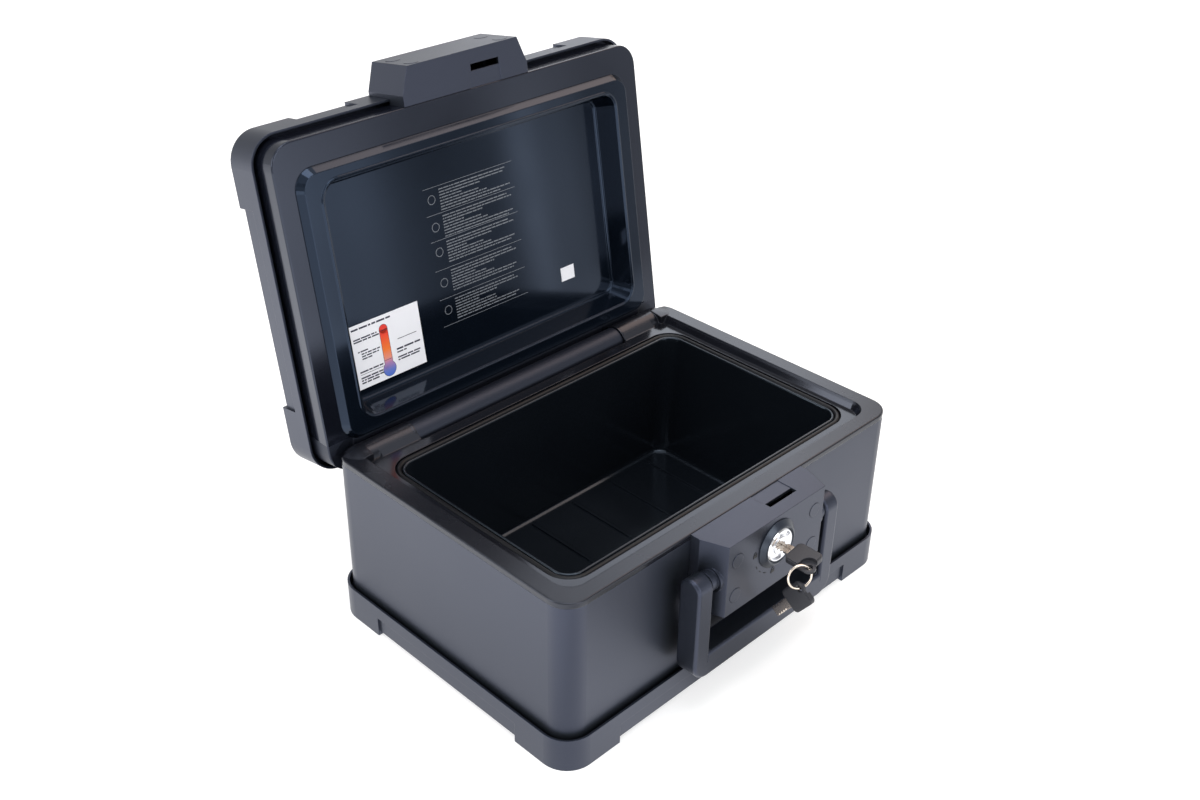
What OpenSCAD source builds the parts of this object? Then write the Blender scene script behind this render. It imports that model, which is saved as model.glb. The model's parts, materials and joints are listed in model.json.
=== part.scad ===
// Small fire-resistant chest with a key lock, a bail handle and a hinged lid.
// Origin: centre of the footprint on the ground. X runs to the right seen
// from the lock side, the lock faces -Y and Z is up. The lid is drawn open.

/* [Chest body] */
// Width of the outer wall
body_w = 312; // [306:1:330]
// Depth of the outer wall
body_d = 220.8; // [218:0.4:232]
// Corner radius of the outer wall
wall_r = 16; // [13:0.5:19]
// Thickness of the outer wall
wall_t = 2.6; // [2:0.1:3.2]
// Height of the rim above the ground
rim_z = 126.3; // [124:0.1:140]
// Thickness of the rim's outer flange
rim_t = 4; // [3:0.1:6]
// How far the rim moulding reaches down inside the wall
rim_deep = 21; // [19:0.5:26]

/* [Skirts of tray and cap] */
// How far a skirt stands out from the wall
skirt_out = 4; // [3.4:0.1:6]
// Width of the dark groove between wall and skirt lip
groove_w = 2.5; // [1.5:0.1:2.8]
// Height of the tray's skirt
tray_h = 24.4; // [20:0.1:30]
// Height of the lid's cap
cap_h = 24; // [20:0.1:30]
// Thickness of the tray's bottom and of the cap's top
plate_t = 5; // [4:0.1:7]
// Length of each corner pad
pad_len = 46; // [36:1:54]
// How far the skirt between the pads is set back
pad_step = 1.5; // [0.8:0.1:2]
// How far the edge between the pads is raised
pad_lift = 3; // [2:0.1:4]
// Height at which the set-back begins
pad_top = 15; // [12:0.5:18]
// Half length of the cap's pad behind the latch
mid_pad = 71; // [56:1:80]

/* [Inner tub] */
// Width of the tub's mouth
mouth_w = 259.4; // [250:0.2:261]
// Depth of the tub's mouth
mouth_d = 157.7; // [150:0.1:159]
// Mouth centre, measured forward of the chest's centre
mouth_fwd = 4.85; // [3:0.05:7]
// Corner radius of the tub's mouth
mouth_r = 11; // [8:0.5:14]
// Height of the tub's lip above the ground
lip_z = 120.5; // [119.5:0.1:120.9]
// Height of the tub's floor above the ground
floor_z = 23; // [16:0.5:40]
// Draw of the side walls from mouth to floor
draw_x = 8.7; // [2:0.1:10]
// Draw of the front and back walls from mouth to floor
draw_y = 2; // [1:0.1:4]
// Thickness of the tub's wall
tub_t = 2.2; // [1.6:0.1:3]
// Spacing of the floor ribs
rib_step = 40; // [30:1:44]
// Width of a floor rib
rib_w = 3; // [2:0.1:5]
// Height of a floor rib
rib_h = 1.2; // [0.8:0.1:2]
// Width of the seal cord
seal_w = 4; // [3:0.1:4.4]

/* [Rim recess] */
// Width of the flat land round the recess
land_w = 12; // [10:0.1:12.6]
// Width of the land in front of the recess
land_front = 10.9; // [9:0.1:12]
// Depth of the recess below the land
recess_h = 5.3; // [5.1:0.1:5.4]
// How far the recess wall slopes in
recess_slope = 3.5; // [2:0.1:4]
// Corner radius of the recess
recess_r = 13; // [10:0.5:16]
// Width of the raised corner at each rear end of the recess
corner_w = 6.8; // [5:0.1:8]
// Gap between that corner and the knuckle's skirt
notch_w = 7.2; // [5:0.1:9]

/* [Hinge] */
// Distance of the hinge axis in front of the rear wall
hinge_in = 8.3; // [8:0.1:9]
// Depth of the hinge axis below the rim
hinge_drop = 9.4; // [9.2:0.1:9.8]
// Radius of the lid's barrel
hinge_r = 9.8; // [9:0.05:9.85]
// Radius of the two knuckles
knuckle_r = 10.8; // [10.2:0.05:11]
// Half length of the lid's barrel
barrel_half = 98; // [80:1:110]
// Distance of a knuckle's tip from the outer wall
knuckle_in = 3; // [2.6:0.1:6]
// Length of a knuckle's pointed end
nose_l = 12; // [10.8:0.2:18]
// Foot of a knuckle's front skirt, measured forward of the axis
skirt_foot = 12.1; // [11.5:0.1:12.6]
// Front edge of the barrel's trough, measured forward of the axis
trough_in = 13.2; // [12:0.1:14]
// Radius of the hinge pins
pin_r = 3; // [2:0.1:4]
// Length of each hinge pin
pin_len = 58; // [40:1:64]
// Running clearance of pins and axles
run_gap = 0.05; // [0.02:0.01:0.1]
// Side gap between moving pieces
side_gap = 0.4; // [0.3:0.05:0.8]
// Angle at which the open lid stands
lid_open = 99.3; // [0:0.1:99.3]

/* [Lid] */
// Gap between the closed lid and the rim
lid_gap = 0.5; // [0.3:0.05:0.8]
// Height of the lid's side wall below the cap
lid_side = 16; // [13:0.5:20]
// Thickness of the lid's land
lid_land_t = 3; // [2.6:0.1:3.5]
// Distance from wall to ridge foot at the sides
ridge_in_x = 13; // [12.6:0.1:16]
// Distance from wall to ridge foot at front and back
ridge_in_y = 18.6; // [18:0.1:21]
// Height of the ridge
ridge_h = 5; // [3:0.1:5]
// Width of the pocket's mouth
pocket_w = 254; // [240:1:258]
// Depth of the pocket's mouth
pocket_d = 159; // [150:0.5:162]
// Depth of the pocket's panel above the lid's land
panel_h = 12; // [8:0.5:16]
// Draw of the pocket's side walls
pocket_draw = 4.5; // [2:0.1:6]
// Corner radius of the ridge
ridge_r = 14; // [10:0.5:18]

/* [Lock and latch housings] */
// Half width of a housing at the wall
house_half = 53; // [51:0.5:53.5]
// Half width of a housing at its front
house_front = 46.5; // [44:0.5:48]
// How far a housing stands out from the wall
house_out = 25; // [24.8:0.1:27]
// Straight part of a housing's sides
house_side = 7; // [5:0.1:8]
// Wall thickness of a housing
house_t = 2.6; // [2:0.1:2.8]
// Height of the lock housing
house_h = 53.5; // [53:0.5:58]
// Drop of the housing's top below the rim
house_drop = 0.3; // [0.1:0.05:0.8]
// Height of the latch housing
latch_h = 37.6; // [36:0.2:39]
// Distance of the screw axes from the middle
screw_x = 37.6; // [37.5:0.1:39]
// Radius of a screw's round cover
plug_r = 5.1; // [4:0.1:5.6]
// Radius of a screw's shank
screw_r = 1.9; // [1.5:0.1:2.1]
// Height of the upper screws below the housing's top
screw_top = 14.2; // [14:0.1:16]
// Spacing of upper and lower screws on the lock housing
screw_pitch = 26.4; // [25.5:0.1:28]
// Height of the latch's near screws above the lid's land
latch_low = 7.3; // [7:0.1:9]
// Spacing of the screws on the latch housing
latch_pitch = 19.6; // [18:0.2:21]

/* [Lock] */
// Depth of the lock axis below the rim
lock_drop = 20.8; // [20.6:0.1:21.4]
// Outer radius of the escutcheon
esc_r = 17; // [15:0.1:18]
// Radius of the chrome face
face_r = 11.6; // [10.8:0.1:11.8]
// How far the chrome face stands out
face_out = 3.6; // [3:0.1:4.5]
// Radius of the lock's barrel
barrel_r = 10.6; // [9.5:0.1:10.8]
// Radius of the turning plug
plug_core_r = 6; // [5.6:0.1:6.5]
// Inner radius of the hook's claw
claw_in = 27.5; // [27:0.1:27.8]
// Width of the hook's claw
claw_w = 6.5; // [5:0.1:6.6]
// Thickness of the hook
claw_t = 3; // [2:0.1:3.2]
// Width of the slot that the claw passes through
slot_w = 4.5; // [4:0.1:5]

/* [Keys] */
// Length of a key's head
head_l = 18.5; // [16:0.1:19]
// Width of a key's head
head_w = 16.6; // [14:0.1:17]
// Thickness of a key's head
head_t = 4.5; // [4:0.1:5]
// Length of a key's blade
blade_l = 17; // [14:0.5:18]
// Width of a key's blade
blade_w = 7; // [6:0.1:8]
// Thickness of a key's blade
blade_t = 1.8; // [1.4:0.1:2]
// How far the key's root stands out from the housing front
key_out = 12.1; // [11.5:0.1:13]
// Tilt of the keyway
key_tilt = 10.6; // [8:0.1:12]
// Radius of the hole for the ring
hole_r = 2.3; // [2.2:0.05:2.5]
// Distance of the hole from the head's end
hole_u = 2.4; // [2:0.1:3]
// Distance of the hole from the head's side
hole_w = 4.6; // [4.4:0.1:5]
// Radius of the split ring to the middle of its wire
ring_r = 7.7; // [7.2:0.1:8.2]
// Thickness of the ring's wire
wire_d = 1.6; // [1.2:0.1:1.7]
// Lean of the spare key towards the chest
spare_lean = 37; // [34:1:50]

/* [Handle] */
// Half of the clear width between the arms
arm_in = 55.5; // [55:0.1:58]
// Width of an arm
arm_w = 13; // [11:0.5:15]
// Thickness of the handle
grip_t = 16.7; // [14:0.1:17.5]
// Height of the pivot below the rim
pivot_drop = 27.5; // [27:0.1:29]
// Distance of the pivot from the wall
pivot_out = 14.5; // [14.2:0.1:15.5]
// Distance from the pivot to the underside of the grip
reach = 68.5; // [66:0.5:70]
// Height of the grip
grip_h = 18.1; // [15:0.1:18.2]
// Outer corner radius of the handle
bend_r = 12; // [10:0.5:12.5]
// Edge radius of the handle
edge_r = 2.1; // [1:0.1:2.6]
// Radius of the stub axles
axle_r = 4; // [3:0.1:5]

/* [Labels] */
// Width of the large label
label_w = 57.6; // [40:0.2:60]
// Height of the large label
label_h = 45; // [30:0.5:46]
// Thickness of a label
label_t = 0.25; // [0.2:0.05:0.4]
// Distance of the large label from the pocket's side
label_side = 9.4; // [8:0.2:14]
// Distance of the large label from the pocket's hinge side
label_back = 12.4; // [8:0.2:20]
// Width of the small label
tag_w = 13.2; // [8:0.2:20]
// Height of the small label
tag_h = 10.4; // [8:0.2:16]

/* [Hidden] */
$fn = 48;
// colours as the object shows them
c_wall = [0.16, 0.165, 0.18];
c_gloss = [0.05, 0.055, 0.07];
c_dark = [0.03, 0.03, 0.035];
c_steel = [0.7, 0.7, 0.72];
// derived places
wall_front = -body_d/2;
skirt_w = body_w + 2*skirt_out;
skirt_d = body_d + 2*skirt_out;
rim_bot = rim_z - rim_deep;
recess_z = rim_z - recess_h;
lip_w = tub_t;
seal_gap = 0.3;
channel = lip_w + seal_w + 2*seal_gap;
hinge_y = body_d/2 - hinge_in;
hinge_z = rim_z - hinge_drop;
sweep_r = 13.3 + (hinge_in - 8.3);
rear_z = hinge_z - sweep_r + 2.6;
knuckle_end = body_w/2 - knuckle_in;
nose_at = knuckle_end - nose_l;
nose_r = (nose_l*nose_l + knuckle_r*knuckle_r)/(2*knuckle_r);
nose_turn = asin(nose_l/nose_r);
corner_x = body_w/2 - land_w - corner_w;
corner_y = hinge_y - skirt_foot + 0.2;
dome_h = knuckle_r - hinge_drop + 0.4;
dome_r = 14;
dome_ball = (dome_r*dome_r + dome_h*dome_h)/(2*dome_h);
recess_up = hinge_drop - recess_h;
// where the skirt's flat front meets the round of the knuckle
skirt_turn = atan2(recess_up, -skirt_foot) - acos(knuckle_r/norm([skirt_foot, recess_up]));
lid_z = rim_z + lid_gap;
cap_z = lid_z + lid_side;
lid_top = cap_z + cap_h;
panel_z = lid_z + panel_h;
pocket_fwd = 0.85;
panel_t = 2.4;
house_top = rim_z - house_drop;
front_y = wall_front - house_out;
lock_z = rim_z - lock_drop;
boss_r = screw_r + 1.3;
plug_t = 2;
slot_x0 = 3.5;
slot_x1 = 29.5;
claw_y = front_y + 11.85;
slot_y = claw_y;
cylinder_back = claw_y - claw_t/2 - 0.35;
key_root = front_y - key_out;
tab_t = 1.8;
tab_r = hole_r + 2;
pivot_y = wall_front - pivot_out;
pivot_z = rim_z - pivot_drop;
grip_z = pivot_z - reach;
// middle of the ring's hole in a key's own frame
hole_pos = [-(head_l - hole_u), head_w/2 - hole_w, -head_t/2 + tab_t/2];
// the same point on the first key in the chest's frame
hole_1 = [-hole_pos[1]*cos(key_tilt) - hole_pos[2]*sin(key_tilt),
  key_root + hole_pos[0],
  lock_z - hole_pos[1]*sin(key_tilt) + hole_pos[2]*cos(key_tilt)];
// the ring's plane, and where the two keys sit on it
ring_tilt = 77.9;
ring_az = -118.2;
ring_at_1 = 127;
ring_at_2 = 0;
function on_ring(a) = ring_r*[
  cos(a)*cos(ring_tilt)*cos(ring_az) - sin(a)*sin(ring_az),
  cos(a)*cos(ring_tilt)*sin(ring_az) + sin(a)*cos(ring_az),
  -cos(a)*sin(ring_tilt)];
ring_mid = hole_1 - on_ring(ring_at_1);
hole_2 = ring_mid + on_ring(ring_at_2);

// rectangle with round corners
module rrect(w, d, r) {
  square([w - 2*r, d], center = true);
  square([w, d - 2*r], center = true);
  for (x = [-1, 1], y = [-1, 1])
    translate([x*(w/2 - r), y*(d/2 - r)]) circle(r);
}

// sweeps a profile round a rounded rectangle: its x points outward, its y up
module sweep_frame(w, d, r) {
  for (a = [0, 180]) rotate([0, 0, a]) {
    translate([w/2, d/2 - r, 0]) rotate([90, 0, 0])
      linear_extrude(d - 2*r) children();
    rotate([0, 0, 90]) translate([d/2, w/2 - r, 0]) rotate([90, 0, 0])
      linear_extrude(w - 2*r) children();
    translate([w/2 - r, d/2 - r, 0])
      rotate_extrude(angle = 90) translate([r, 0]) children();
    rotate([0, 0, 90]) translate([d/2 - r, w/2 - r, 0])
      rotate_extrude(angle = 90) translate([r, 0]) children();
  }
}

// skirted plate with four corner pads, outer face down at z = 0
module skirt_block(h) {
  difference() {
    linear_extrude(h) rrect(skirt_w, skirt_d, wall_r + skirt_out);
    for (a = [0, 180]) rotate([0, 0, a]) {
      pad_cut(skirt_d/2, skirt_w - 2*pad_len);
      rotate([0, 0, 90]) pad_cut(skirt_w/2, skirt_d - 2*pad_len);
    }
  }
}

// the set-back between two pads
module pad_cut(face, len) {
  translate([-len/2, 0, 0]) rotate([90, 0, 90]) linear_extrude(len)
    polygon([[face + 1, -1], [face + 1, pad_top], [face, pad_top],
      [face - pad_step, pad_top - 2], [face - pad_step, pad_lift],
      [face - pad_step - 7, pad_lift], [face - pad_step - 7 - pad_lift, 0],
      [face - pad_step - 7 - pad_lift, -1]]);
}

// pocket of a skirted plate: a seat for the wall, and the groove above it
module skirt_pocket(h) {
  translate([0, 0, plate_t]) linear_extrude(h) rrect(body_w, body_d, wall_r);
  translate([0, 0, pad_top + 0.4]) linear_extrude(h)
    rrect(body_w + 2*groove_w, body_d + 2*groove_w, wall_r + groove_w);
}

// one wall tube
module wall_tube(z0, z1) {
  translate([0, 0, z0]) linear_extrude(z1 - z0) difference() {
    rrect(body_w, body_d, wall_r);
    rrect(body_w - 2*wall_t, body_d - 2*wall_t, wall_r - wall_t);
  }
}

// fill that fits inside the wall tube
module wall_fill(z0, z1) {
  translate([0, 0, z0]) linear_extrude(z1 - z0)
    rrect(body_w - 2*wall_t, body_d - 2*wall_t, wall_r - wall_t);
}

// drawn tub form: grows outward by e, with a rounded foot
module tub_form(e, top) {
  foot = 3;
  hull() {
    translate([0, -mouth_fwd, top - 1]) linear_extrude(1)
      rrect(mouth_w + 2*e, mouth_d + 2*e, mouth_r + e, $fn = 32);
    translate([0, -mouth_fwd, floor_z - e + foot]) linear_extrude(0.1)
      rrect(mouth_w - 2*draw_x + 2*e, mouth_d - 2*draw_y + 2*e, mouth_r - 1 + e, $fn = 32);
    translate([0, -mouth_fwd, floor_z - e + 0.8]) linear_extrude(0.1)
      rrect(mouth_w - 2*draw_x + 2*e - 1.8, mouth_d - 2*draw_y + 2*e - 1.8,
        mouth_r - 1.9 + e, $fn = 32);
    translate([0, -mouth_fwd, floor_z - e]) linear_extrude(0.1)
      rrect(mouth_w - 2*draw_x + 2*e - 2*foot, mouth_d - 2*draw_y + 2*e - 2*foot,
        mouth_r - foot + e, $fn = 32);
  }
}

// axes of the four screws of a housing, seen along +Y from its front
module screw_spots(upper, pitch) {
  for (x = [-1, 1], k = [0, 1])
    translate([x*screw_x, front_y, upper - k*pitch]) rotate([-90, 0, 0]) children();
}

// plan of a housing, drawn in by i
function house_plan(i) = [
  [-(house_half - i), wall_front + (i > 0 ? 1 : 0)],
  [-(house_half - i), wall_front - house_side - i*0.2],
  [-(house_front - i*0.75), front_y + i],
  [house_front - i*0.75, front_y + i],
  [house_half - i, wall_front - house_side - i*0.2],
  [house_half - i, wall_front + (i > 0 ? 1 : 0)]];

// hollow housing with screw towers, open at its back
module house_shell(z0, z1, upper, pitch) {
  difference() {
    union() {
      difference() {
        translate([0, 0, z0]) linear_extrude(z1 - z0) polygon(house_plan(0));
        translate([0, 0, z0 + house_t]) linear_extrude(z1 - z0 - 2*house_t)
          polygon(house_plan(house_t));
      }
      screw_spots(upper, pitch) {
        cylinder(r = boss_r, h = house_out);
        cylinder(r = plug_r + 1.2, h = plug_t + 1.6);
      }
    }
    screw_spots(upper, pitch) {
      translate([0, 0, -1]) cylinder(r = plug_r, h = plug_t + 1);
      cylinder(r = screw_r + 0.1, h = house_out + 1);
    }
  }
}

// screws of a housing, with shanks through the wall behind it
module house_screws(upper, pitch) {
  screw_spots(upper, pitch) {
    difference() {
      translate([0, 0, 0.4]) cylinder(r = 3.4, h = plug_t - 0.4);
      translate([0, 0, 0.2]) cylinder(r = 1.6, h = 0.8, $fn = 6);
    }
    translate([0, 0, plug_t]) cylinder(r = screw_r, h = house_out + wall_t - plug_t);
  }
}

module screw_holes(upper, pitch) {
  screw_spots(upper, pitch)
    translate([0, 0, 4]) cylinder(r = screw_r + 0.1, h = house_out + wall_t + 1);
}

module house_plugs(upper, pitch) {
  screw_spots(upper, pitch) {
    difference() {
      translate([0, 0, -0.2]) cylinder(r = plug_r - 0.1, h = plug_t + 0.2 - 0.02);
      translate([0, 0, 0.38]) cylinder(r = 3.5, h = plug_t);
    }
  }
}

// lifts what is drawn for the closed lid into the open place
module lid_pose() {
  translate([0, hinge_y, hinge_z]) rotate([-lid_open, 0, 0])
    translate([0, -hinge_y, -hinge_z]) children();
}

lock_upper = house_top - screw_top;
latch_top = lid_z + latch_h;
latch_upper = lid_z + latch_low + latch_pitch;

module base_tray() {
  color(c_wall) difference() {
    skirt_block(tray_h);
    skirt_pocket(tray_h);
  }
}

module body_shell() {
  color(c_wall) difference() {
    wall_tube(plate_t, rim_z - rim_t);
    translate([-body_w/2 - 1, hinge_y - 0.3, rear_z])
      cube([body_w + 2, body_d/2 - hinge_y + 2, rim_z]);
    // the knuckles' pointed ends reach into the wall
    for (s = [0, 1]) mirror([s, 0, 0]) knuckle_nose(0.05);
    screw_holes(lock_upper, screw_pitch);
  }
}

module body_insulation() {
  color([0.6, 0.58, 0.55]) difference() {
    wall_fill(plate_t, rim_bot);
    tub_form(tub_t, lip_z - lip_w/2);
  }
}

// one outer knuckle with its flat front skirt and pointed end, drawn for +X
module knuckle() {
  x0 = barrel_half + side_gap;
  translate([x0, hinge_y, hinge_z]) rotate([0, 90, 0])
    cylinder(r = knuckle_r, h = nose_at - x0);
  knuckle_nose(0);
  translate([x0, hinge_y, hinge_z]) rotate([0, 90, 0]) cylinder(r = knuckle_r + 0.25, h = 1.6);
  translate([x0, hinge_y, hinge_z]) rotate([90, 0, 90]) linear_extrude(corner_x - notch_w - x0)
    polygon([[-skirt_foot, recess_up/2], [-skirt_foot, recess_up],
      [knuckle_r*cos(skirt_turn), knuckle_r*sin(skirt_turn)], [-1, 0]]);
  // low dome where the pointed end runs out into the land
  intersection() {
    translate([knuckle_end - dome_r, hinge_y, rim_z]) dome(0, dome_r, -0.5);
    translate([corner_x, corner_y, rim_z - 1])
      cube([2*dome_r, hinge_y - 0.3 - corner_y, 4]);
  }
}

// pointed end of the knuckle, grown by e
module knuckle_nose(e) {
  translate([nose_at, hinge_y, hinge_z]) rotate([0, 90, 0])
    rotate_extrude($fn = 96) polygon(concat([[0, 0]], [for (k = [0:11])
      (nose_r + e)*[cos(k/12*nose_turn), sin(k/12*nose_turn)] - [nose_r - knuckle_r, 0]],
      [[0, nose_l + e]]));
}

// flat round cap of the knuckle's end, grown by e
module dome(e, r, z0) {
  rotate_extrude($fn = 96) intersection() {
    translate([0, dome_h - dome_ball]) circle(dome_ball + e, $fn = 480);
    translate([0, z0]) square([r, 4]);
  }
}

module rim_frame() {
  color(c_gloss) difference() {
    union() {
      difference() {
        union() {
          translate([0, 0, rim_z - rim_t]) linear_extrude(rim_t - 0.8)
            rrect(body_w, body_d, wall_r);
          translate([0, 0, rim_z - 1]) linear_extrude(1)
            rrect(body_w - 2, body_d - 2, wall_r - 1);
          translate([0, 0, rim_z - 1]) sweep_frame(body_w - 2, body_d - 2, wall_r - 1)
            intersection() {
              circle(1);
              square(1);
            }
          wall_fill(rim_bot, rim_z - 1);
        }
        // mouth for the tub's lip and seal
        translate([0, -mouth_fwd, rim_bot - 1]) linear_extrude(rim_deep + 2)
          rrect(mouth_w + 2*channel, mouth_d + 2*channel, mouth_r + channel);
        // stepped recess with its sloping wall
        recess_cut();
        // rear clearance for the lid's swing
        translate([-body_w/2 - 1, hinge_y - 0.3, rim_bot - 1])
          cube([body_w + 2, body_d/2 - hinge_y + 2, rim_deep + 2]);
        // trough for the lid's barrel
        translate([-barrel_half - side_gap, hinge_y, hinge_z]) rotate([0, 90, 0])
          cylinder(r = hinge_r + side_gap, h = 2*(barrel_half + side_gap));
        translate([-barrel_half - side_gap, hinge_y - trough_in, hinge_z - 2])
          cube([2*(barrel_half + side_gap), trough_in, hinge_r + 5]);
      }
      knuckle();
      mirror([1, 0, 0]) knuckle();
    }
    // pin holes, blind at the outer end
    for (s = [0, 1]) mirror([s, 0, 0])
      translate([barrel_half + side_gap - 1, hinge_y, hinge_z]) rotate([0, 90, 0])
        cylinder(r = pin_r + 0.02, h = pin_end - barrel_half - side_gap + 1);
  }
}
pin_end = nose_at - 2.3;

// recess of the rim: flat floor, sloping wall, open to the hinge at its back
module recess_cut() {
  fw = body_w - 2*land_w;
  y0 = wall_front + land_front;
  d = corner_y - y0 + 20;
  translate([0, y0 + d/2, 0]) intersection() {
    hull() {
      translate([0, 0, recess_z]) linear_extrude(0.01)
        rrect(fw - 2*recess_slope, d - 2*recess_slope, recess_r - recess_slope, $fn = 32);
      translate([0, 0, rim_z + 0.2]) linear_extrude(0.01) rrect(fw, d, recess_r, $fn = 32);
    }
    translate([-fw/2, -d/2 - 1, recess_z - 1]) cube([fw, corner_y - y0 + 1, 20]);
  }
  // floor that runs on to the knuckles
  translate([-corner_x, corner_y - 1, recess_z])
    cube([2*corner_x, hinge_y - corner_y + 1, 20]);
}

module liner_tub() {
  color(c_dark) union() {
    difference() {
      union() {
        tub_form(tub_t, lip_z - lip_w/2);
        // flange under the seal
        translate([0, -mouth_fwd, lip_z - 5]) linear_extrude(2)
          rrect(mouth_w + 2*channel, mouth_d + 2*channel, mouth_r + channel);
      }
      tub_form(0, lip_z - lip_w/2);
      translate([0, -mouth_fwd, lip_z - lip_w/2 - 1]) linear_extrude(10)
        rrect(mouth_w, mouth_d, mouth_r, $fn = 32);
    }
    translate([0, -mouth_fwd, 0]) sweep_frame(mouth_w, mouth_d, mouth_r)
      translate([lip_w/2, lip_z - lip_w/2]) circle(lip_w/2, $fn = 24);
    for (k = [-2.5:1:2.5])
      translate([k*rib_step - rib_w/2, -mouth_fwd - mouth_d/2 + 9, floor_z - 0.5])
        cube([rib_w, mouth_d - 17, rib_h + 0.5]);
  }
}

module rim_gasket() {
  color(c_dark) translate([0, -mouth_fwd, lip_z - 3])
    sweep_frame(mouth_w, mouth_d, mouth_r) translate([lip_w + seal_gap, 0]) {
      square([seal_w, 1.4]);
      intersection() {
        translate([seal_w/2, 1.4]) circle(seal_w/2, $fn = 24);
        square([seal_w, seal_w]);
      }
    }
}

module hinge_pins() {
  color(c_steel) for (s = [0, 1]) mirror([s, 0, 0])
    translate([pin_end - pin_len, hinge_y, hinge_z]) rotate([0, 90, 0])
      cylinder(r = pin_r, h = pin_len);
}

// stub axle of the handle with its two collars, drawn for +X
module stub_axle() {
  translate([0, pivot_y, pivot_z]) rotate([0, 90, 0]) {
    translate([0, 0, house_front - 4]) cylinder(r = 9, h = house_half - house_front + 1);
    translate([0, 0, house_front - 2]) cylinder(r = 7, h = arm_in - side_gap - house_front + 2);
    translate([0, 0, house_front - 2]) cylinder(r = axle_r, h = arm_in + 9 - house_front + 2);
  }
}

module lock_housing() {
  color(c_wall) difference() {
    union() {
      house_shell(house_top - house_h, house_top, lock_upper, screw_pitch);
      stub_axle();
      mirror([1, 0, 0]) stub_axle();
    }
    // hook slot and the shallow track behind it
    translate([slot_x0, slot_y - slot_w/2, house_top - house_t - 1])
      cube([slot_x1 - slot_x0, slot_w, house_t + 2]);
    translate([slot_x0 - 0.8, slot_y + slot_w/2 - 0.1, house_top - 0.4])
      cube([slot_x1 - slot_x0 + 0.8, wall_front - slot_y - slot_w/2 + 1, 1]);
    // hole for the lock's barrel
    translate([0, front_y - 1, lock_z]) rotate([-90, 0, 0])
      cylinder(r = barrel_r + 0.1, h = house_t + 2);
  }
}

module housing_screws() {
  color(c_steel) house_screws(lock_upper, screw_pitch);
}

module housing_plugs() {
  color(c_wall) house_plugs(lock_upper, screw_pitch);
}

module lock_escutcheon() {
  color(c_dark) translate([0, front_y, lock_z]) rotate([90, 0, 0])
    rotate_extrude($fn = 96) polygon([[face_r + 0.3, 0], [esc_r, 0], [esc_r, 0.6],
      [face_r + 2.2, face_out - 0.4], [face_r + 1.2, face_out], [face_r + 0.3, face_out - 0.6]]);
}

module lock_cylinder() {
  back = front_y - cylinder_back;
  color(c_steel) translate([0, front_y, lock_z]) rotate([90, 0, 0]) difference() {
    rotate_extrude($fn = 96) polygon([[plug_core_r + run_gap, back],
      [barrel_r, back], [barrel_r, 0], [face_r, 0], [face_r, face_out - 0.8],
      [face_r - 0.8, face_out], [face_r - 1.8, face_out - 0.1],
      [plug_core_r + 1.2, face_out - 0.5], [plug_core_r + run_gap, face_out - 0.5]]);
    // two shallow bow-tie pockets in the face
    for (a = [30, 210]) rotate([0, 0, a]) rotate_extrude(angle = 70, $fn = 96)
      translate([plug_core_r + 0.8, face_out - 1.3]) square([face_r - plug_core_r - 2.4, 2]);
  }
}

module lock_nut() {
  color(c_steel) translate([0, front_y + house_t, lock_z]) rotate([-90, 0, 0]) difference() {
    cylinder(r = 15, h = 3.2, $fn = 6);
    translate([0, 0, -1]) cylinder(r = barrel_r, h = 6);
  }
}

module lock_plug() {
  len = face_out + cylinder_back - front_y;
  color(c_steel) translate([0, front_y - face_out, lock_z]) rotate([0, -key_tilt, 0])
    difference() {
      union() {
        rotate([-90, 0, 0]) cylinder(r = plug_core_r, h = len + 0.2);
        // stub with two flats that carries the hook
        intersection() {
          rotate([-90, 0, 0]) cylinder(r = plug_core_r - 2, h = len + 0.35 + claw_t);
          translate([-plug_core_r, 0, -2.6]) cube([2*plug_core_r, len + 10, 5.2]);
        }
      }
      // keyway
      translate([-blade_w/2 - 0.2, -1, -blade_t/2 - 0.15])
        cube([blade_w + 0.4, blade_l - key_out + face_out + 1.7, blade_t + 0.3]);
      // hole for the hook's screw
      translate([0, len + claw_t - 6, 0]) rotate([-90, 0, 0]) cylinder(r = 1.5, h = 10);
    }
}

module hook_cam() {
  far = 2*claw_in;
  color(c_steel) translate([0, claw_y + claw_t/2, lock_z]) rotate([90, 0, 0])
    linear_extrude(claw_t) difference() {
      union() {
        circle(8);
        // claw, a ring sector from -60 to 16 degrees
        intersection() {
          difference() {
            circle(claw_in + claw_w, $fn = 120);
            circle(claw_in, $fn = 120);
          }
          polygon([[0, 0], [far*cos(-60), far*sin(-60)], [far, far*tan(-30)], [far, 0],
            [far*cos(16), far*sin(16)]]);
        }
        // arm
        rotate([0, 0, -40]) translate([0, -4]) square([claw_in + claw_w/2, 8]);
      }
      rotate(key_tilt) intersection() {
        circle(plug_core_r - 2 + 0.02);
        square([2*plug_core_r, 5.24], center = true);
      }
    }
}

module cam_screw() {
  color(c_steel) translate([0, claw_y + claw_t/2, lock_z]) rotate([-90, 0, 0]) {
    difference() {
      cylinder(r = 5.2, h = 2.2);
      translate([0, 0, 1.2]) cylinder(r = 2, h = 2, $fn = 6);
    }
    translate([0, 0, -5]) cylinder(r = 1.48, h = 5.5);
  }
}

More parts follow.
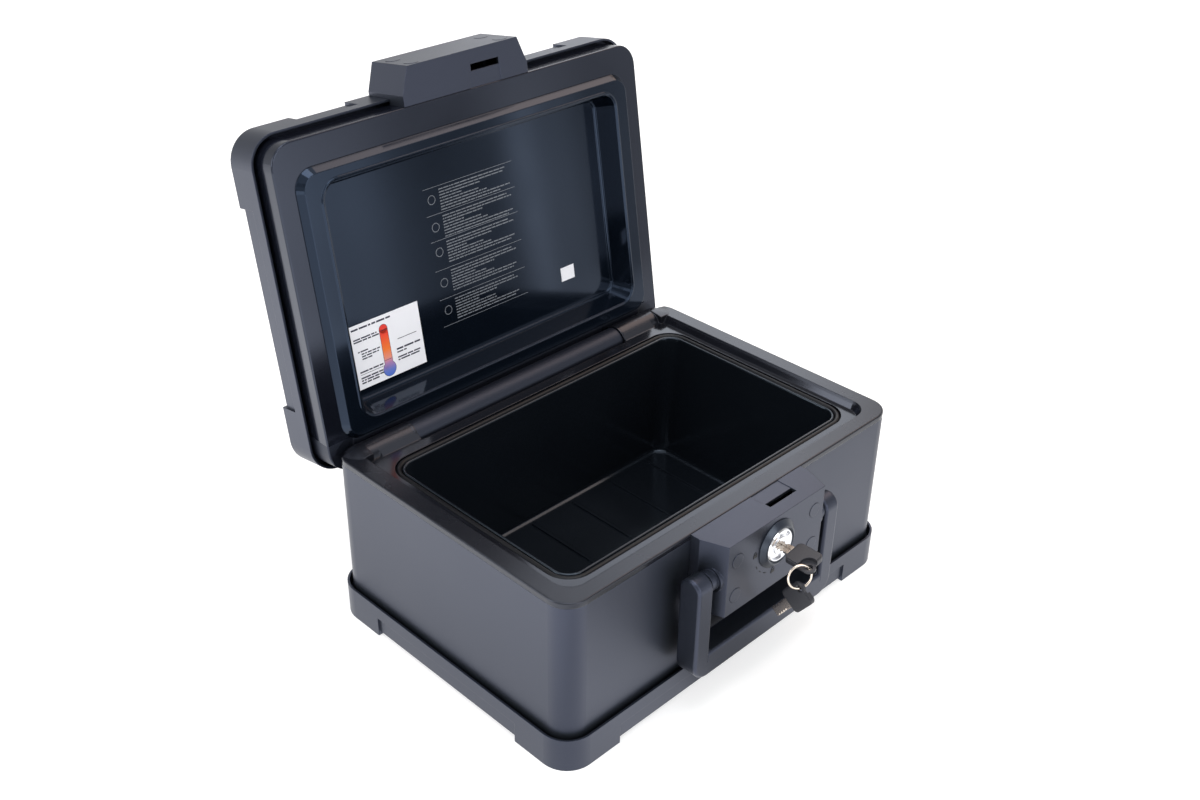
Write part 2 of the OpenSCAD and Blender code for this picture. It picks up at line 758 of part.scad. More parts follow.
// toothed blade of a key: runs along +X from its root at the origin
module key_blade() {
  rotate([0, 0, 0]) difference() {
    union() {
      translate([-6, -blade_w/2, -blade_t/2]) cube([blade_l + 5, blade_w, blade_t]);
      translate([blade_l - 1.1, 0, 0]) intersection() {
        cylinder(r = blade_w/2, h = blade_t, center = true);
        translate([0, -blade_w/2, -blade_t]) cube([1.1, blade_w, 2*blade_t]);
      }
    }
    // cuts of the bitting on both edges
    for (k = [0:3]) {
      translate([5.2 + k*2.7, blade_w/2, -blade_t]) rotate([0, 0, 45])
        translate([-0.8 - 0.15*k, -0.8 - 0.15*k, 0]) cube([1.6 + 0.3*k, 1.6 + 0.3*k, 2*blade_t]);
      translate([6.4 + k*2.6, -blade_w/2, -blade_t]) rotate([0, 0, 45])
        translate([-1.1 + 0.12*k, -1.1 + 0.12*k, 0]) cube([2.2 - 0.24*k, 2.2 - 0.24*k, 2*blade_t]);
    }
    // guide groove
    translate([1, -0.6, blade_t/2 - 0.5]) cube([blade_l, 1.2, 1]);
  }
}

// moulded head of a key, with a thin tab and hole at one far corner
module key_head() {
  difference() {
    union() {
      difference() {
        union() {
          translate([-head_l/2, 0, -head_t/2 + 0.6]) linear_extrude(head_t - 1.2)
            rrect(head_l, head_w, 3.2);
          translate([-head_l/2, 0, -head_t/2]) linear_extrude(head_t)
            rrect(head_l - 1.4, head_w - 1.4, 2.6);
        }
        // clearance round the ring
        translate([hole_pos[0], hole_pos[1], -head_t/2 + tab_t])
          cylinder(r = tab_r + 1.3, h = head_t);
        translate([hole_pos[0] - 10, hole_pos[1], -head_t/2 + tab_t])
          cube([10, 10, head_t]);
        translate([hole_pos[0], hole_pos[1] + 2, -head_t/2 + tab_t])
          cube([tab_r + 1.2, 10, head_t]);
      }
      translate([hole_pos[0], hole_pos[1], -head_t/2]) cylinder(r = tab_r, h = tab_t);
    }
    translate([hole_pos[0], hole_pos[1], -head_t]) cylinder(r = hole_r, h = 2*head_t);
    // seat of the blade
    translate([-6, -blade_w/2, -blade_t/2]) cube([7, blade_w, blade_t]);
  }
}

// places of the two keys
module key_1_place() {
  translate([0, key_root, lock_z]) rotate([0, -key_tilt, 0]) rotate([0, 0, 90]) children();
}

module key_2_place() {
  translate(hole_2) rotate([spare_lean - 90, 0, 0]) rotate([90, 0, 90])
    translate(-hole_pos) children();
}

module key_1_blade() {
  color(c_steel) key_1_place() key_blade();
}

module key_1_head() {
  color(c_dark) key_1_place() key_head();
}

module key_2_blade() {
  color(c_steel) key_2_place() key_blade();
}

module key_2_head() {
  color(c_dark) key_2_place() key_head();
}

module key_ring() {
  color(c_steel) translate(ring_mid) rotate([0, ring_tilt, ring_az])
    rotate_extrude($fn = 64) translate([ring_r, 0]) circle(wire_d/2, $fn = 24);
}

// one arm with its round end, drawn for +X
module handle_arm() {
  mid = arm_in + arm_w/2;
  z0 = grip_z + bend_r;
  translate([mid, pivot_y, z0]) linear_extrude(pivot_z - z0) rrect(arm_w, grip_t, edge_r);
  translate([mid, pivot_y, pivot_z]) rotate([0, 90, 0]) rotate_extrude($fn = 96)
    intersection() {
      rrect(grip_t, arm_w, edge_r);
      translate([0, -arm_w]) square([grip_t, 2*arm_w]);
    }
  // outer bend
  translate([arm_in + arm_w - bend_r, pivot_y, z0]) rotate([90, 0, 0]) rotate([0, 0, -90])
    rotate_extrude(angle = 90, $fn = 64) intersection() {
      rrect(2*bend_r, grip_t, edge_r);
      translate([0, -grip_t]) square([bend_r, 2*grip_t]);
    }
  // inner fillet
  translate([arm_in, pivot_y + grip_t/2 - edge_r, grip_z + grip_h]) rotate([90, 0, 0])
    linear_extrude(grip_t - 2*edge_r) difference() {
      translate([-3.5, -1]) square([4.5, 4.5]);
      translate([-3.5, 3.5]) circle(3.5);
      translate([-8, 3.5]) square([9, 5]);
    }
}

module handle() {
  color(c_wall) difference() {
    union() {
      handle_arm();
      mirror([1, 0, 0]) handle_arm();
      translate([-(arm_in + arm_w - bend_r), pivot_y, grip_z + grip_h/2])
        rotate([90, 0, 90]) linear_extrude(2*(arm_in + arm_w - bend_r))
          rrect(grip_t, grip_h, edge_r);
    }
    for (s = [0, 1]) mirror([s, 0, 0]) translate([arm_in - 1, pivot_y, pivot_z])
      rotate([0, 90, 0]) cylinder(r = axle_r + run_gap, h = 10.4);
  }
}

module lid_cap() {
  color(c_wall) lid_pose() difference() {
    translate([0, 0, lid_top]) mirror([0, 0, 1]) difference() {
      union() {
        skirt_block(cap_h);
        // pad behind the latch
        translate([-mid_pad, -skirt_d/2, 0])
          cube([2*mid_pad, pad_step + pad_lift + 8, pad_top]);
      }
      skirt_pocket(cap_h);
    }
    screw_holes(latch_upper, latch_pitch);
  }
}

module lid_frame() {
  rw = body_w - 2*ridge_in_x;
  rd = body_d - 2*ridge_in_y;
  color(c_gloss) lid_pose() difference() {
    union() {
      wall_tube(lid_z + 1, lid_top - plate_t);
      translate([0, 0, lid_z]) linear_extrude(lid_land_t)
        rrect(body_w - 2, body_d - 2, wall_r - 1);
      translate([0, 0, lid_z + 1]) sweep_frame(body_w - 2, body_d - 2, wall_r - 1)
        intersection() {
          circle(1);
          translate([0, -1]) square(1);
        }
      translate([0, 0, lid_z + 1]) linear_extrude(lid_land_t - 1) rrect(body_w, body_d, wall_r);
      // hinge barrel and the web that carries it
      translate([-barrel_half, hinge_y, hinge_z]) rotate([0, 90, 0])
        cylinder(r = hinge_r, h = 2*barrel_half);
      translate([-barrel_half, hinge_y - 5, hinge_z])
        cube([2*barrel_half, 10, lid_z - hinge_z + 1]);
    }
    // opening for the inner moulding
    translate([0, 0, lid_z - 1]) linear_extrude(lid_land_t + 2) rrect(rw, rd, ridge_r);
    // groove in front of the barrel
    translate([-barrel_half, hinge_y - 8.5, lid_z - 0.5])
      cube([2*barrel_half, 3.5, 2.2]);
    // room for the knuckles and their ends when the lid is shut
    for (s = [0, 1]) mirror([s, 0, 0]) {
      translate([barrel_half, hinge_y, hinge_z]) rotate([0, 90, 0])
        cylinder(r = knuckle_r + 0.6, h = knuckle_end + 0.4 - barrel_half);
      intersection() {
        translate([knuckle_end - dome_r, hinge_y, rim_z]) dome(0.4, dome_r + 2, 0);
        translate([corner_x - 1, corner_y - 3, rim_z]) cube([30, hinge_y - corner_y + 3, 4]);
      }
    }
    for (s = [0, 1]) mirror([s, 0, 0])
      translate([pin_end - pin_len - 1, hinge_y, hinge_z]) rotate([0, 90, 0])
        cylinder(r = pin_r + run_gap, h = pin_len);
    screw_holes(latch_upper, latch_pitch);
  }
}

// tapered pocket of the lid's inner moulding, grown by e
module pocket_form(e, z0) {
  hull() {
    translate([0, -pocket_fwd, z0]) linear_extrude(0.1)
      rrect(pocket_w + 2*e, pocket_d + 2*e, ridge_r - 2 + e, $fn = 32);
    translate([0, -pocket_fwd, panel_z + e - 0.1]) linear_extrude(0.1)
      rrect(pocket_w + 2*e - 2*pocket_draw, pocket_d + 2*e - 2*pocket_draw,
        ridge_r - 5 + e, $fn = 32);
  }
}

module lid_liner() {
  rw = body_w - 2*ridge_in_x;
  rd = body_d - 2*ridge_in_y;
  color(c_gloss) lid_pose() union() {
    difference() {
      union() {
        // ridge with sloping flanks
        hull() {
          translate([0, 0, lid_z - ridge_h]) linear_extrude(0.1)
            rrect(rw - 7, rd - 7, ridge_r - 3.5, $fn = 32);
          translate([0, 0, lid_z - 0.1]) linear_extrude(0.1) rrect(rw, rd, ridge_r, $fn = 32);
        }
        translate([0, 0, lid_z - 0.1]) linear_extrude(lid_land_t + 0.1) rrect(rw, rd, ridge_r, $fn = 32);
        pocket_form(panel_t, lid_z - ridge_h + 0.2);
      }
      pocket_form(0, lid_z - ridge_h - 0.1);
    }
    // bead round the pocket's mouth and a second one at the foot of its wall
    translate([0, -pocket_fwd, lid_z - ridge_h + 0.1])
      sweep_frame(pocket_w + 3, pocket_d + 3, ridge_r - 0.5) circle(0.8, $fn = 24);
    translate([0, -pocket_fwd, panel_z])
      sweep_frame(pocket_w - 2*pocket_draw - 1, pocket_d - 2*pocket_draw - 1, ridge_r - 5.5)
        circle(1.2, $fn = 24);
  }
}

module lid_insulation() {
  color([0.6, 0.58, 0.55]) lid_pose() difference() {
    wall_fill(lid_z + lid_land_t, lid_top - plate_t);
    pocket_form(panel_t, lid_z - ridge_h + 0.2);
  }
}

module latch_housing() {
  color(c_wall) lid_pose() difference() {
    house_shell(lid_z, latch_top, latch_upper, latch_pitch);
    // step that clears the cap's skirt
    translate([-house_half - 1, wall_front - skirt_out, cap_z])
      cube([2*house_half + 2, skirt_out + 2, lid_top - cap_z + 5]);
    // slot for the hook and the shallow track behind it
    translate([slot_x0 + 0.5, slot_y - slot_w/2, lid_z - 1])
      cube([slot_x1 - slot_x0 - 1.6, slot_w, house_t + 2]);
    translate([slot_x0 - 1.5, slot_y + slot_w/2 - 0.1, lid_z - 0.6])
      cube([slot_x1 - slot_x0 + 0.7, wall_front - slot_y - slot_w/2 + 1, 1]);
  }
}

module latch_strike() {
  color(c_steel) lid_pose() translate([slot_x0 - 18, slot_y - 3, lid_z + house_t])
    difference() {
      cube([18, 6, 1.5]);
      translate([3, 3, -1]) cylinder(r = 1, h = 4);
    }
}

module latch_screws() {
  color(c_steel) lid_pose() house_screws(latch_upper, latch_pitch);
}

module latch_plugs() {
  color(c_wall) lid_pose() house_plugs(latch_upper, latch_pitch);
}

module info_label() {
  color("white") lid_pose()
    translate([label_side - pocket_w/2, pocket_d/2 - pocket_fwd - label_back - label_h,
      panel_z - label_t]) cube([label_w, label_h, label_t]);
}

module check_label() {
  color("white") lid_pose()
    translate([pocket_w/2 - 4.2*tag_w, pocket_d/2 - pocket_fwd - 3.7*tag_h, panel_z - label_t])
      cube([tag_w, tag_h, label_t]);
}

base_tray();
body_shell();
body_insulation();
rim_frame();
liner_tub();
rim_gasket();
hinge_pins();
lock_housing();
housing_screws();
housing_plugs();
lock_escutcheon();
lock_cylinder();
lock_nut();
lock_plug();
hook_cam();
cam_screw();
key_1_blade();
key_1_head();
key_ring();
key_2_blade();
key_2_head();
handle();
lid_cap();
lid_frame();
lid_liner();
lid_insulation();
latch_housing();
latch_strike();
latch_screws();
latch_plugs();
info_label();
check_label();
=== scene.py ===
import bpy, bmesh, json
from math import sin, cos, radians
from mathutils import Vector, Matrix


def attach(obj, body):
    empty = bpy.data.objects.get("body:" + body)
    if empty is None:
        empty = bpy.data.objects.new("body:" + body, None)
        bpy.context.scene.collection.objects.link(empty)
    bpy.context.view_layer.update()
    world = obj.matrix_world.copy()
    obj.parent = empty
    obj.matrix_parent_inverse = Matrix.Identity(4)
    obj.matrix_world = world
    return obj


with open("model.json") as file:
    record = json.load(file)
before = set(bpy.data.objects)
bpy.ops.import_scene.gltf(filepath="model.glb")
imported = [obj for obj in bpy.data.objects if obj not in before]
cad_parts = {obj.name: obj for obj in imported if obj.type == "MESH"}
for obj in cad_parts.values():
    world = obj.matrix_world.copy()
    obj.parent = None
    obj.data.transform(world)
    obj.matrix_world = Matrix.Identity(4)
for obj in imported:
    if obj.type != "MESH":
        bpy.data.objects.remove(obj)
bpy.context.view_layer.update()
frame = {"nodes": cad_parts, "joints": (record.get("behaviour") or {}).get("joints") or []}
nodes = frame["nodes"]
joints = {joint["name"]: joint for joint in frame["joints"]}
# the dictionaries of the pieces hold millimetres, Blender and the frame hold metres
mm = 0.001
print("frame loaded", len(nodes), "nodes")

# camera of the photograph: place and clip distances in metres, angles in degrees,
# lens and sensor in millimetres
cameraView = {"place": (-0.57099, -0.54001, 0.62701), "azimuth": -45.56, "height": 31.30,
              "roll": 1.02, "lens": 41.69, "sensor": 36, "nearest": 0.02, "farthest": 30}


def makeCamera():
    view = cameraView
    azimuth, height, roll = (radians(view[k]) for k in ("azimuth", "height", "roll"))
    back = Vector((sin(azimuth) * cos(height), -cos(azimuth) * cos(height), sin(height)))
    right = (-back).cross(Vector((0, 0, 1))).normalized()
    up = right.cross(-back)
    rolledRight = right * cos(roll) + up * sin(roll)
    rolledUp = -right * sin(roll) + up * cos(roll)
    data = bpy.data.cameras.new("photoCamera")
    data.lens, data.sensor_width = view["lens"], view["sensor"]
    data.clip_start, data.clip_end = view["nearest"], view["farthest"]
    camera = bpy.data.objects.new("photoCamera", data)
    place = Matrix((rolledRight, rolledUp, back)).transposed().to_4x4()
    place.translation = Vector(view["place"])
    camera.matrix_world = place
    bpy.context.scene.collection.objects.link(camera)
    bpy.context.scene.camera = camera


makeCamera()
print("camera set")


# node helpers: an input takes another node's output or a plain value
def feed(tree, socket, value):
    if isinstance(value, bpy.types.NodeSocket):
        tree.links.new(value, socket)
    else:
        socket.default_value = value


def addMath(tree, operation, first, second):
    node = tree.nodes.new("ShaderNodeMath")
    node.operation = operation
    feed(tree, node.inputs[0], first)
    feed(tree, node.inputs[1], second)
    return node.outputs[0]


def addMapRange(tree, value, low, high, toLow=0, toHigh=1):
    node = tree.nodes.new("ShaderNodeMapRange")
    feed(tree, node.inputs["Value"], value)
    node.inputs["From Min"].default_value, node.inputs["From Max"].default_value = low, high
    node.inputs["To Min"].default_value, node.inputs["To Max"].default_value = toLow, toHigh
    return node.outputs["Result"]


def addColourMix(tree, share, first, second, blend="MIX"):
    node = tree.nodes.new("ShaderNodeMix")
    node.data_type, node.blend_type = "RGBA", blend
    for name, value in (("Factor", share), ("A", first), ("B", second)):
        feed(tree, node.inputs[name], value)
    return node.outputs["Result"]


def addRamp(tree, value, stops):
    # a new ramp has a first and a last stop, and those between are added
    ramp = tree.nodes.new("ShaderNodeValToRGB")
    elements = ramp.color_ramp.elements
    for place, colour in stops[1:-1]:
        elements.new(place).color = colour
    for n in (0, -1):
        elements[n].position, elements[n].color = stops[n]
    feed(tree, ramp.inputs["Fac"], value)
    return ramp.outputs["Color"]


def addShaderMix(tree, share, first, second):
    node = tree.nodes.new("ShaderNodeMixShader")
    for socket, value in zip(node.inputs, (share, first, second)):
        feed(tree, socket, value)
    return node.outputs[0]


def splitPlace(tree, kind):
    # x, y and z of a point, or of a ray's direction in the world
    coords = tree.nodes.new("ShaderNodeTexCoord")
    split = tree.nodes.new("ShaderNodeSeparateXYZ")
    feed(tree, split.inputs[0], coords.outputs[kind])
    return split.outputs


def grey(level):
    return (level, level, level, 1)


# soft light in a pale room; levels are of brightness, 1 is white
studio = {"skyFill": 0.62, "floorWhite": 0.86, "floorGlow": 0.62, "floorHalf": 6,
          "floorDrop": 0.0002,
          # share of the lamps' light that the sheet adds, as seen and as mirrored
          "sheetSeen": 0.6, "sheetMirrored": 0.25,
          # room as the object mirrors it: pale round about, dim overhead (upness, level)
          "room": [(0.0, 0.9), (0.25, 0.75), (0.5, 0.34), (0.62, 0.4), (0.75, 0.95), (1.0, 0.9)],
          # brightness of the paper sheet as the object mirrors it, by place along x: painted
          # light, brighter to the left, and painted shadow as a dark strip near x = 0 where the
          # lock housing and handle shade the floor
          "sheet": [(-0.6, 1.2), (-0.34, 1.9), (-0.26, 1.5), (-0.2, 1.05), (-0.1, 1.35),
                    (-0.05, 1.15), (-0.02, 0.3), (0.025, 0.35), (0.07, 1.05), (0.2, 1.2),
                    (0.4, 0.85), (0.6, 0.9), (0.9, 1.1), (1.2, 1.15)],
          # painted light and painted shade on it further out: soft stripes spread like a fan from
          # bandSource, seen only in reflections
          "bandSource": (-0.571, 0.895), "bandStart": (-0.35, -0.45),
          "paintedStripes": [(0.54, 1.9), (0.58, 1.4), (0.6, 1.1), (0.625, 1.3), (0.64, 1.15),
                    (0.665, 0.5), (0.7, 0.2), (0.75, 0.2), (0.785, 0.22), (0.8, 1.0),
                    (0.814, 2.0), (0.828, 1.2), (0.842, 0.62), (0.866, 0.9), (0.876, 0.75),
                    (0.888, 0.25), (0.902, 0.2), (0.93, 0.35), (1.0, 0.6)],
          # lamps: name, place, aim, size, watts, colour
          "lamps": [("leftBox", (-1.7, 0.5, 1.0), (0, 0, 0.1), 1.2, 18, (1, 1, 1)),
                    ("frontBox", (0.1, -2.1, 1.0), (0, 0, 0.1), 1.2, 16, (1, 1, 1)),
                    ("backBox", (1.34, 1.2, 1.14), (0, 0.0, 0.15), 1.0, 7, (0.94, 0.97, 1)),
                    ("topBox", (-0.1, -0.2, 2.1), (0, 0, 0), 1.2, 16, (0.95, 0.97, 1)),
                    ("warmBox", (1.0, 0.1, 1.4), (0, 0.1, 0.25), 0.9, 5.2, (1, 0.66, 0.46))]}
# a ramp holds no more than one, so it holds levels divided by this
rampScale = 2


def addLevels(tree, value, levels):
    # grey level read along a list of (place, level), divided by rampScale
    first, last = levels[0][0], levels[-1][0]
    stops = [((place - first) / (last - first), grey(level / rampScale))
             for place, level in levels]
    return addRamp(tree, addMapRange(tree, value, first, last), stops)


def seenRay(tree, withGlass):
    # 1 for what the camera, metal or glass shows, 0 for light on the object
    path = tree.nodes.new("ShaderNodeLightPath").outputs
    seen = addMath(tree, "MAXIMUM", path["Is Camera Ray"], path["Is Glossy Ray"])
    if not withGlass:
        return seen
    return addMath(tree, "MAXIMUM", seen, path["Is Transmission Ray"])


def cameraRay(tree):
    return tree.nodes.new("ShaderNodeLightPath").outputs["Is Camera Ray"]


def addBackground(tree, colour, strength):
    node = tree.nodes.new("ShaderNodeBackground")
    feed(tree, node.inputs["Color"], colour)
    node.inputs["Strength"].default_value = strength
    return node.outputs[0]


def makeSky():
    world = bpy.data.worlds.new("studioSky")
    bpy.context.scene.world = world
    world.use_nodes = True
    tree = world.node_tree
    tree.nodes.clear()
    mirrored = addLevels(tree, splitPlace(tree, "Generated")["Z"], studio["room"])
    shown = addColourMix(tree, cameraRay(tree), mirrored, grey(1 / rampScale))
    sky = addShaderMix(tree, seenRay(tree, True), addBackground(tree, grey(1), studio["skyFill"]),
                       addBackground(tree, shown, rampScale))
    feed(tree, tree.nodes.new("ShaderNodeOutputWorld").inputs[0], sky)


def makeLamps():
    for name, place, aim, size, power, colour in studio["lamps"]:
        data = bpy.data.lights.new(name, "AREA")
        data.shape, data.size, data.energy, data.color = "SQUARE", size, power, colour
        lamp = bpy.data.objects.new(name, data)
        lamp.location = place
        lamp.rotation_euler = (Vector(aim) - Vector(place)).to_track_quat("-Z", "Y").to_euler()
        bpy.context.scene.collection.objects.link(lamp)


def paintedSheetShadeAndLight(tree):
    # mirrored by the object the sheet is uneven with painted light and painted shade, to the
    # camera it is plain white
    place = splitPlace(tree, "Object")
    sourceX, sourceY = studio["bandSource"]
    across = addMath(tree, "SUBTRACT", place["X"], sourceX)
    away = addMath(tree, "SUBTRACT", sourceY, place["Y"])
    fan = addLevels(tree, addMath(tree, "DIVIDE", across, away), studio["paintedStripes"])
    begun = addMapRange(tree, place["Y"], *studio["bandStart"])
    band = addColourMix(tree, begun, grey(1 / rampScale), fan)
    both = addColourMix(tree, 1, addLevels(tree, place["X"], studio["sheet"]), band, "MULTIPLY")
    # both factors are divided by rampScale, so their product is doubled once
    twice = addColourMix(tree, 1, both, both, "ADD")
    return addColourMix(tree, cameraRay(tree), twice, grey(studio["floorGlow"] / rampScale))


def addDiffuse(tree, colour):
    node = tree.nodes.new("ShaderNodeBsdfDiffuse")
    feed(tree, node.inputs["Color"], colour)
    return node.outputs[0]


def makeFloor():
    bm = bmesh.new()
    bmesh.ops.create_grid(bm, x_segments=1, y_segments=1, size=studio["floorHalf"])
    bmesh.ops.translate(bm, verts=bm.verts, vec=(0, 0, -studio["floorDrop"]))
    mesh = bpy.data.meshes.new("studioFloor")
    bm.to_mesh(mesh)
    bm.free()
    floor = bpy.data.objects.new("studioFloor", mesh)
    bpy.context.scene.collection.objects.link(floor)
    mat = bpy.data.materials.new("paleFloor")
    mat.use_nodes = True
    tree = mat.node_tree
    tree.nodes.clear()
    glow = tree.nodes.new("ShaderNodeEmission")
    feed(tree, glow.inputs["Color"], paintedSheetShadeAndLight(tree))
    glow.inputs["Strength"].default_value = rampScale
    lit = addColourMix(tree, cameraRay(tree), grey(studio["sheetMirrored"]),
                       grey(studio["sheetSeen"]))
    shown = tree.nodes.new("ShaderNodeAddShader")
    feed(tree, shown.inputs[0], glow.outputs[0])
    feed(tree, shown.inputs[1], addDiffuse(tree, lit))
    cloth = addDiffuse(tree, grey(studio["floorWhite"]))
    skin = addShaderMix(tree, seenRay(tree, False), cloth, shown.outputs[0])
    feed(tree, tree.nodes.new("ShaderNodeOutputMaterial").inputs[0], skin)
    floor.data.materials.append(mat)


bpy.context.scene.view_settings.view_transform = "Standard"
makeSky()
makeLamps()
makeFloor()
print("studio set")

# finishes: base colour, roughness, grain per metre, bump, cloudiness, tint of reflections,
# radius of shaded edges in metres, and another roughness below a height in metres
finishes = {
    "charcoalMould": {"color": (0.0095, 0.0115, 0.014), "rough": 0.38, "grain": 1400,
                      "bump": 0.10, "mottle": 0.10, "tint": (0.555, 0.625, 0.94), "ior": 1.71},
    "rimGloss": {"color": (0.006, 0.0065, 0.009), "rough": 0.27, "grain": 700, "bump": 0.03,
                 "mottle": 0.2, "tint": (0.76, 0.82, 1.0), "edge": 0.0008,
                 "lowHeight": 0.1245, "lowRough": 0.14},
    "lidGloss": {"color": (0.005, 0.006, 0.010), "rough": 0.14, "grain": 260, "bump": 0.012,
                 "mottle": 0.2, "tint": (0.64, 0.73, 0.98), "edge": 0.0008, "ior": 1.57,
                 "lowHeight": 0.1285, "lowRough": 0.46},
    "panelGloss": {"color": (0.003, 0.005, 0.009), "rough": 0.09, "grain": 200, "bump": 0.01,
                   "mottle": 0.25, "tint": (0.41, 0.56, 0.86), "edge": 0.0009},
    "linerBlack": {"color": (0.0048, 0.0063, 0.0088), "rough": 0.16, "grain": 300,
                   "bump": 0.015, "mottle": 0.2, "tint": (0.66, 0.8, 1.0), "edge": 0.0012},
    "sealRubber": {"color": (0.003, 0.003, 0.004), "rough": 0.4, "grain": 800, "bump": 0.03,
                   "mottle": 0.2, "ior": 1.35},
    "castFill": {"color": (0.5, 0.48, 0.45), "rough": 0.9, "grain": 300, "bump": 0.4,
                 "mottle": 0.3},
    "coneRing": {"color": (0.010, 0.012, 0.02), "rough": 0.3, "grain": 1200, "bump": 0.05,
                 "mottle": 0.1, "tint": (0.7, 0.82, 1.0)},
    "keyBlack": {"color": (0.02, 0.02, 0.025), "rough": 0.42, "grain": 1000, "bump": 0.06,
                 "mottle": 0.15},
    "labelWhite": {"color": (0.93, 0.94, 0.99), "rough": 0.5, "grain": 500, "bump": 0.01,
                   "mottle": 0.01, "edge": 0},
    "printGrey": {"color": (0.16, 0.175, 0.2), "rough": 0.5, "grain": 2500, "bump": 0.02,
                  "mottle": 0.35, "edge": 0},
    "inkDark": {"color": (0.012, 0.012, 0.035), "rough": 0.5, "grain": 2500, "bump": 0.02,
                "mottle": 0.2, "edge": 0},
    # its base colour is replaced by heatStops
    "heatScale": {"color": (0.6, 0.2, 0.15), "rough": 0.6, "grain": 900, "bump": 0.01,
                  "mottle": 0.05, "edge": 0}}
metals = {
    "chrome": {"color": (0.82, 0.82, 0.84), "rough": 0.07, "grain": 300, "bump": 0.01,
               "edge": 0.0003},
    "zincSteel": {"color": (0.6, 0.61, 0.63), "rough": 0.3, "grain": 900, "bump": 0.05},
    "warmNickel": {"color": (0.66, 0.58, 0.5), "rough": 0.2, "grain": 900, "bump": 0.03,
                   "edge": 0.0002}}
# what every finish has unless it says otherwise; the clouds make it smoother or rougher
commonSkin = {"ior": 1.55, "tint": (0.9, 0.94, 1.0), "mottle": 0.1, "edge": 0.0006,
              "edgeSamples": 6, "bumpDepth": 0.0004, "grainDetail": 3, "cloudScale": 18,
              "cloudDetail": 5, "smoother": 0.04, "rougher": 0.05, "leastRough": 0.02,
              "heightBlend": 0.0004}


def addNoise(tree, coords, scale, detail):
    node = tree.nodes.new("ShaderNodeTexNoise")
    node.inputs["Scale"].default_value = scale
    node.inputs["Detail"].default_value = detail
    feed(tree, node.inputs["Vector"], coords)
    return node.outputs["Fac"]


def grainNormal(tree, coords, look):
    # fine grain, and edges that catch the light as if rounded
    bump = tree.nodes.new("ShaderNodeBump")
    bump.inputs["Strength"].default_value = look["bump"]
    bump.inputs["Distance"].default_value = look["bumpDepth"]
    feed(tree, bump.inputs["Height"], addNoise(tree, coords, look["grain"], look["grainDetail"]))
    if look["edge"]:
        edge = tree.nodes.new("ShaderNodeBevel")
        edge.samples = look["edgeSamples"]
        edge.inputs["Radius"].default_value = look["edge"]
        feed(tree, bump.inputs["Normal"], edge.outputs["Normal"])
    return bump.outputs["Normal"]


def lowGloss(tree, gloss, look):
    # the part below a height has another roughness
    low, blend = look["lowHeight"], look["heightBlend"]
    above = addMapRange(tree, splitPlace(tree, "Object")["Z"], low - blend, low + blend)
    node = tree.nodes.new("ShaderNodeMix")
    for name, value in (("Factor", above), ("A", look["lowRough"]), ("B", gloss)):
        feed(tree, node.inputs[name], value)
    return node.outputs["Result"]


def surface(name, ownLook, metallic):
    look = {**commonSkin, **ownLook}
    mat = bpy.data.materials.new(name)
    mat.use_nodes = True
    tree = mat.node_tree
    coords = tree.nodes.new("ShaderNodeTexCoord").outputs["Object"]
    cloud = addNoise(tree, coords, look["cloudScale"], look["cloudDetail"])
    mottle = look["mottle"]
    dark = tuple(v * (1 - mottle) for v in look["color"]) + (1,)
    light = tuple(min(1, v * (1 + mottle)) for v in look["color"]) + (1,)
    smooth = max(look["leastRough"], look["rough"] - look["smoother"])
    gloss = addMapRange(tree, cloud, 0, 1, smooth, look["rough"] + look["rougher"])
    if "lowHeight" in look:
        gloss = lowGloss(tree, gloss, look)
    skin = tree.nodes["Principled BSDF"]
    for key, value in (("Metallic", metallic), ("IOR", look["ior"]),
                       ("Specular Tint", look["tint"] + (1,)), ("Roughness", gloss),
                       ("Base Color", addColourMix(tree, cloud, dark, light)),
                       ("Normal", grainNormal(tree, coords, look))):
        feed(tree, skin.inputs[key], value)
    return mat


mats = {name: surface(name, look, 0) for name, look in finishes.items()}
mats.update({name: surface(name, look, 1) for name, look in metals.items()})
dress = {
    "charcoalMould": ["base_tray", "body_shell", "lock_housing", "housing_plugs", "handle",
                      "lid_cap", "latch_housing", "latch_plugs"],
    "rimGloss": ["rim_frame"], "lidGloss": ["lid_frame"], "panelGloss": ["lid_liner"],
    "linerBlack": ["liner_tub"], "sealRubber": ["rim_gasket"],
    "castFill": ["body_insulation", "lid_insulation"],
    "coneRing": ["lock_escutcheon"], "keyBlack": ["key_1_head", "key_2_head"],
    "labelWhite": ["info_label", "check_label"],
    "chrome": ["lock_cylinder", "lock_plug"],
    "zincSteel": ["hinge_pins", "housing_screws", "lock_nut", "hook_cam", "cam_screw",
                  "latch_strike", "latch_screws"],
    "warmNickel": ["key_1_blade", "key_2_blade", "key_ring"]}
for finish, names in dress.items():
    for name in names:
        obj = nodes[name]
        if not obj.material_slots:
            obj.data.materials.append(mats[finish])
        for holder in obj.material_slots:
            holder.material = mats[finish]
print("finishes set")


def makePiece(bm, name, body, finish):
    bmesh.ops.recalc_face_normals(bm, faces=bm.faces)
    mesh = bpy.data.meshes.new(name)
    bm.to_mesh(mesh)
    bm.free()
    piece = bpy.data.objects.new(name, mesh)
    mesh.materials.append(mats[finish])
    bpy.context.scene.collection.objects.link(piece)
    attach(piece, body)


def addBar(bm, x0, x1, y0, y1, z0, z1, turn):
    # flat bar, given by its two corners in millimetres
    size = Vector((x1 - x0, y1 - y0, z1 - z0)) * mm
    place = Vector((x0 + x1, y0 + y1, z0 + z1)) * mm / 2
    matrix = turn @ Matrix.Translation(place) @ Matrix.Diagonal(size).to_4x4()
    bmesh.ops.create_cube(bm, size=1, matrix=matrix)


def joinedVerts(verts):
    # these vertices and all that edges join to them
    found = set(verts)
    grow = list(verts)
    while grow:
        vert = grow.pop()
        for edge in vert.link_edges:
            other = edge.other_vert(vert)
            if other not in found:
                found.add(other)
                grow.append(other)
    return list(found)


# steps round a whole ring, and the gap in metres that closes it
ringRule = {"steps": 40, "weld": 1e-7}


